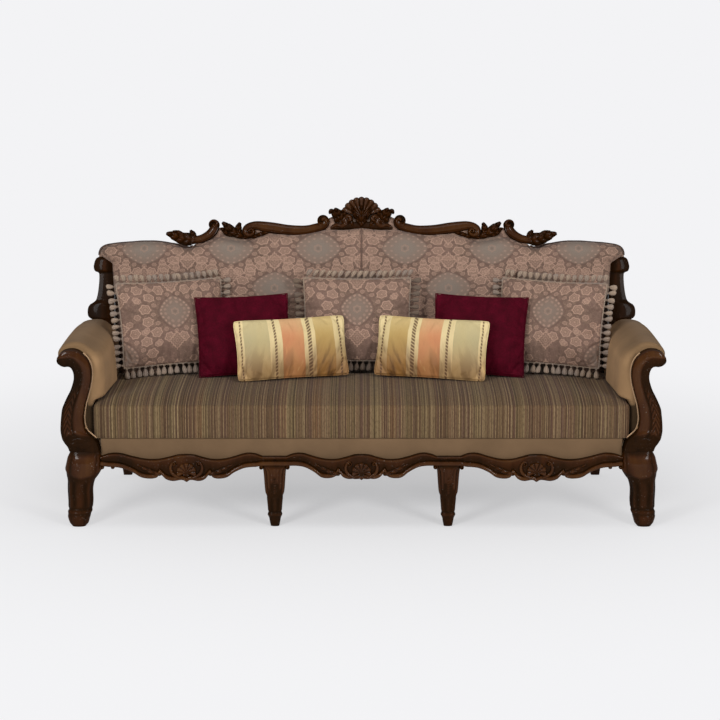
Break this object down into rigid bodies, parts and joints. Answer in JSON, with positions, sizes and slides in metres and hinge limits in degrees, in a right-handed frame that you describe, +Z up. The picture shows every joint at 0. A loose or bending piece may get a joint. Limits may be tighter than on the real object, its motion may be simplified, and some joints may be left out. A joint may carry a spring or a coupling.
{
  "type": "rolled arm sofa",
  "caption": "Rolled arm sofa with a carved walnut crest, apron and cabriole legs, one long seat cushion, padded arms and loose fringed, velvet and striped pillows.",
  "frame": {"origin": "on the floor under the middle of the sofa's outline", "axes": "+X to the right as seen by someone facing the sofa, +Y to the back, +Z up; the sofa faces -Y"},
  "size_m": [2.2, 0.8498, 1.117],
  "materials": {
    "walnut": "polished dark walnut, deeper in the carving",
    "beech": "plain planed beech, hidden inside",
    "damask": "dusty mauve damask with grey-green medallions",
    "back_cloth": "plain dusty mauve cloth",
    "suede": "beige suede with a soft nap",
    "seat_stripe": "narrow upright stripes in brown, tan, olive and mauve",
    "velvet": "deep wine velvet",
    "stripe": "silky stripes in cream, green-grey, terracotta and olive-gold",
    "fringe": "twisted beige and grey tassels",
    "deck": "padding board under the cushion",
    "lining": "black cloth under the seat",
    "steel": "spring wire and clips",
    "glide": "dark nylon glides"
  },
  "bodies": {
    "sofa_frame": {"front_seat_rail": "beech", "back_seat_rail": "beech", "left_side_rail": "beech", "right_side_rail": "beech", "left_seat_brace": "beech", "right_seat_brace": "beech", "corner_blocks": "beech", "left_back_stile": "walnut", "right_back_stile": "walnut", "back_top_rail": "beech", "left_back_upright": "beech", "centre_back_upright": "beech", "right_back_upright": "beech", "seat_springs": "steel", "spring_clips": "steel", "seat_deck": "deck", "front_rail_pad": "suede", "left_arm_frame": "beech", "right_arm_frame": "beech", "left_arm_pad": "suede", "right_arm_pad": "suede", "left_arm_outer_panel": "suede", "right_arm_outer_panel": "suede", "left_arm_facing": "walnut", "right_arm_facing": "walnut", "left_front_leg": "walnut", "right_front_leg": "walnut", "left_middle_leg": "walnut", "right_middle_leg": "walnut", "left_back_leg": "walnut", "right_back_leg": "walnut", "left_apron": "walnut", "centre_apron": "walnut", "right_apron": "walnut", "left_back_pad": "damask", "right_back_pad": "damask", "back_cover": "back_cloth", "crest_shell": "walnut", "left_crest_spray": "walnut", "right_crest_spray": "walnut", "left_crest_rail": "walnut", "right_crest_rail": "walnut", "left_crest_sprig": "walnut", "right_crest_sprig": "walnut", "left_crest_scroll": "walnut", "right_crest_scroll": "walnut", "foot_glides": "glide", "dust_cover": "lining", "dowels": "beech"},
    "seat_cushion_body": {"seat_cushion": "seat_stripe"},
    "left_fringed_body": {"left_fringed_pillow": "damask", "left_fringe": "fringe"},
    "centre_fringed_body": {"centre_fringed_pillow": "damask", "centre_fringe": "fringe"},
    "right_fringed_body": {"right_fringed_pillow": "damask", "right_fringe": "fringe"},
    "left_velvet_body": {"left_velvet_pillow": "velvet"},
    "left_striped_body": {"left_striped_pillow": "stripe"},
    "right_velvet_body": {"right_velvet_pillow": "velvet"},
    "right_striped_body": {"right_striped_pillow": "stripe"}
  },
  "joints": [
    {"name": "seat_cushion_slide", "type": "slide", "parent": "sofa_frame", "child": "seat_cushion_body", "axis": [0, -1, 0], "range_m": [0, 0.25]},
    {"name": "left_fringed_pillow_lift", "type": "slide", "parent": "seat_cushion_body", "child": "left_fringed_body", "axis": [0, 0.2079, 0.9781], "range_m": [0, 0.3]},
    {"name": "centre_fringed_pillow_lift", "type": "slide", "parent": "seat_cushion_body", "child": "centre_fringed_body", "axis": [0, 0.2079, 0.9781], "range_m": [0, 0.3]},
    {"name": "right_fringed_pillow_lift", "type": "slide", "parent": "seat_cushion_body", "child": "right_fringed_body", "axis": [0, 0.2079, 0.9781], "range_m": [0, 0.3]},
    {"name": "left_velvet_pillow_lift", "type": "slide", "parent": "seat_cushion_body", "child": "left_velvet_body", "axis": [0, 0.2079, 0.9781], "range_m": [0, 0.3]},
    {"name": "left_striped_pillow_lift", "type": "slide", "parent": "seat_cushion_body", "child": "left_striped_body", "axis": [0, 0.2079, 0.9781], "range_m": [0, 0.3]},
    {"name": "right_velvet_pillow_lift", "type": "slide", "parent": "seat_cushion_body", "child": "right_velvet_body", "axis": [0, 0.2079, 0.9781], "range_m": [0, 0.3]},
    {"name": "right_striped_pillow_lift", "type": "slide", "parent": "seat_cushion_body", "child": "right_striped_body", "axis": [0, 0.2079, 0.9781], "range_m": [0, 0.3]}
  ]
}
